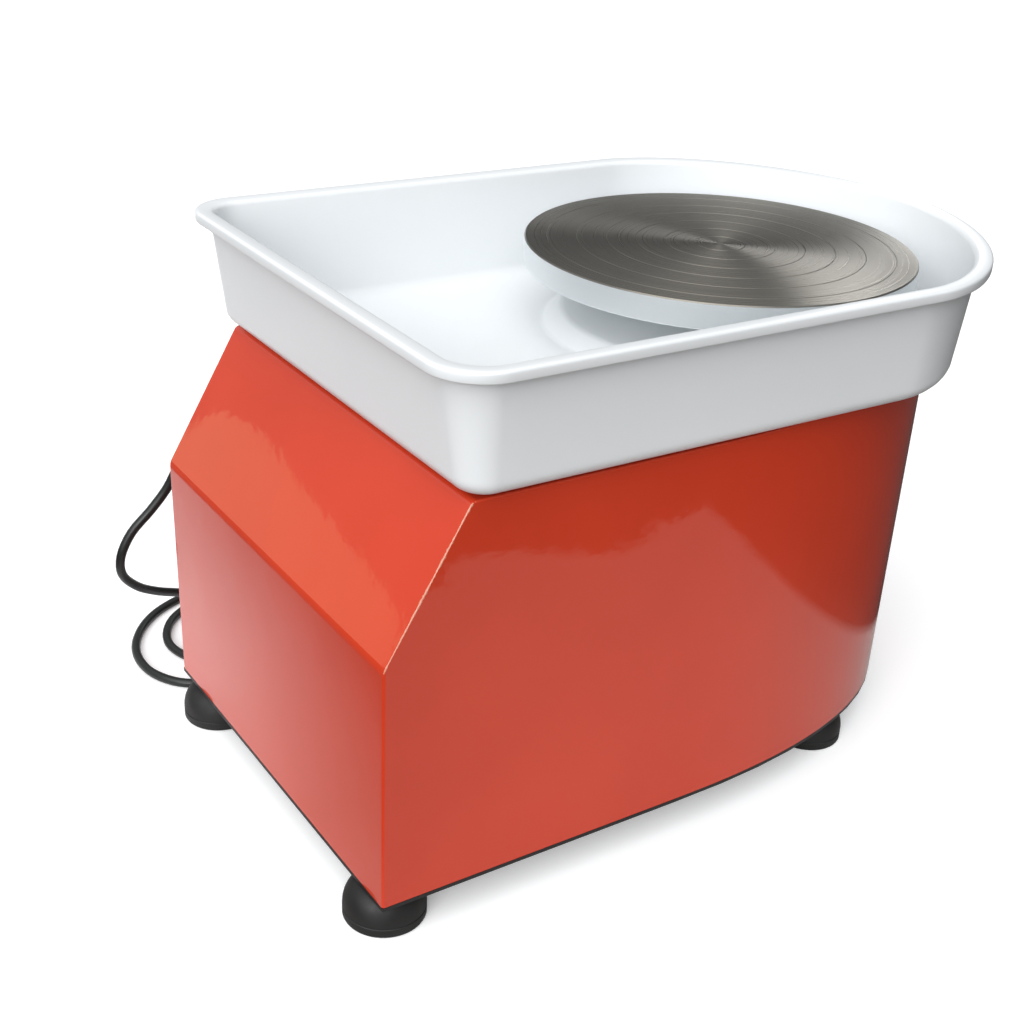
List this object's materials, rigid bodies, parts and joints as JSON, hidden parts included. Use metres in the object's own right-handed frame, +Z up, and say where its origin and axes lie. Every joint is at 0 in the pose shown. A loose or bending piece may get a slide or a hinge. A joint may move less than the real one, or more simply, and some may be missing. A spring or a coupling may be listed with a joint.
{
  "type": "pottery wheel",
  "caption": "Tabletop electric pottery wheel: painted steel housing, lift-out splash basin and a belt-driven aluminium wheel head.",
  "frame": {"origin": "centre of the bottom of the box round the wheel without its mains cord, on the surface it stands on", "axes": "+Z up along the spindle, +X towards the rounded end, +Y towards the control side"},
  "size_m": [0.5132, 0.4651, 0.3454],
  "materials": {
    "orange_paint": "glossy baked enamel on sheet steel",
    "white_abs": "satin moulded ABS",
    "turned_aluminium": "lathe-turned, with fine rings",
    "black_steel": "black powder coat",
    "zinc_steel": "zinc plated",
    "ground_steel": "ground",
    "motor_grey": "grey cast finish",
    "black_rubber": "matt moulded rubber",
    "black_plastic": "satin moulded plastic",
    "board_laminate": "solder-resist laminate",
    "cord_pvc": "satin PVC sheath"
  },
  "bodies": {
    "frame": {"housing_shell": "orange_paint", "base_plate": "black_steel", "deck_plate": "black_steel", "bearing_housing": "black_steel", "bearing_screw_1": "zinc_steel", "bearing_screw_2": "zinc_steel", "bearing_screw_3": "zinc_steel", "upper_bearing_outer_race": "ground_steel", "lower_bearing_outer_race": "ground_steel", "foot_front_end": "black_rubber", "foot_back_end": "black_rubber", "foot_front_nose": "black_rubber", "foot_back_nose": "black_rubber", "foot_screw_front_end": "zinc_steel", "foot_screw_back_end": "zinc_steel", "foot_screw_front_nose": "zinc_steel", "foot_screw_back_nose": "zinc_steel", "basin_pad_front_end": "black_rubber", "basin_pad_back_end": "black_rubber", "basin_pad_front_nose": "black_rubber", "basin_pad_back_nose": "black_rubber", "drive_belt": "black_rubber", "motor_body": "motor_grey", "motor_end_cap": "turned_aluminium", "motor_plate": "zinc_steel", "motor_post_a": "zinc_steel", "motor_post_b": "zinc_steel", "motor_post_c": "zinc_steel", "motor_post_d": "zinc_steel", "control_board": "board_laminate", "board_block": "black_plastic", "heat_sink": "turned_aluminium", "power_supply": "zinc_steel", "control_panel": "black_steel", "power_switch_body": "black_plastic", "direction_switch_body": "black_plastic", "speed_pot": "zinc_steel", "fuse_holder": "black_plastic", "pedal_socket": "zinc_steel", "cord_gland": "black_rubber", "mains_cord": "cord_pvc", "cord_coil": "cord_pvc", "cord_tail": "cord_pvc", "cord_tie": "black_plastic", "plug": "black_plastic"},
    "spindle": {"spindle_shaft": "ground_steel", "drive_pin": "ground_steel", "spindle_nut": "zinc_steel", "spindle_pulley": "motor_grey", "upper_bearing_inner_race": "ground_steel", "lower_bearing_inner_race": "ground_steel"},
    "head": {"wheel_head": "turned_aluminium", "head_hub": "turned_aluminium"},
    "basin": {"basin": "white_abs"},
    "rotor": {"motor_shaft": "ground_steel", "motor_pulley": "ground_steel"},
    "power_rocker": {"power_switch_rocker": "black_plastic"},
    "direction_rocker": {"direction_switch_rocker": "black_plastic"},
    "knob": {"speed_knob": "black_plastic"}
  },
  "joints": [
    {"name": "spindle_spin", "type": "hinge", "parent": "frame", "child": "spindle", "pos_m": [0.08125, 0, 0.2], "axis": [0, 0, 1], "continuous": true},
    {"name": "motor_spin", "type": "hinge", "parent": "frame", "child": "rotor", "pos_m": [-0.07875, 0, 0.18], "axis": [0, 0, 1], "continuous": true},
    {"name": "head_lift", "type": "slide", "parent": "spindle", "child": "head", "axis": [0, 0, 1], "range_m": [0, 0.2]},
    {"name": "basin_lift", "type": "slide", "parent": "frame", "child": "basin", "axis": [0, 0, 1], "range_m": [0, 0.1]},
    {"name": "power_rock", "type": "hinge", "parent": "frame", "child": "power_rocker", "pos_m": [-0.13775, 0.14915, 0.145], "axis": [1, 0, 0], "range_deg": [0, 16]},
    {"name": "direction_rock", "type": "hinge", "parent": "frame", "child": "direction_rocker", "pos_m": [-0.10075, 0.14915, 0.165], "axis": [1, 0, 0], "range_deg": [0, 16]},
    {"name": "knob_turn", "type": "hinge", "parent": "frame", "child": "knob", "pos_m": [-0.06375, 0.155, 0.165], "axis": [0, -1, 0], "range_deg": [-150, 150]}
  ],
  "couplings": [
    {"joint": "motor_spin", "follows": "spindle_spin", "ratio": 4.28},
    {"joint": "basin_lift", "follows": "head_lift", "ratio": 0.5}
  ]
}
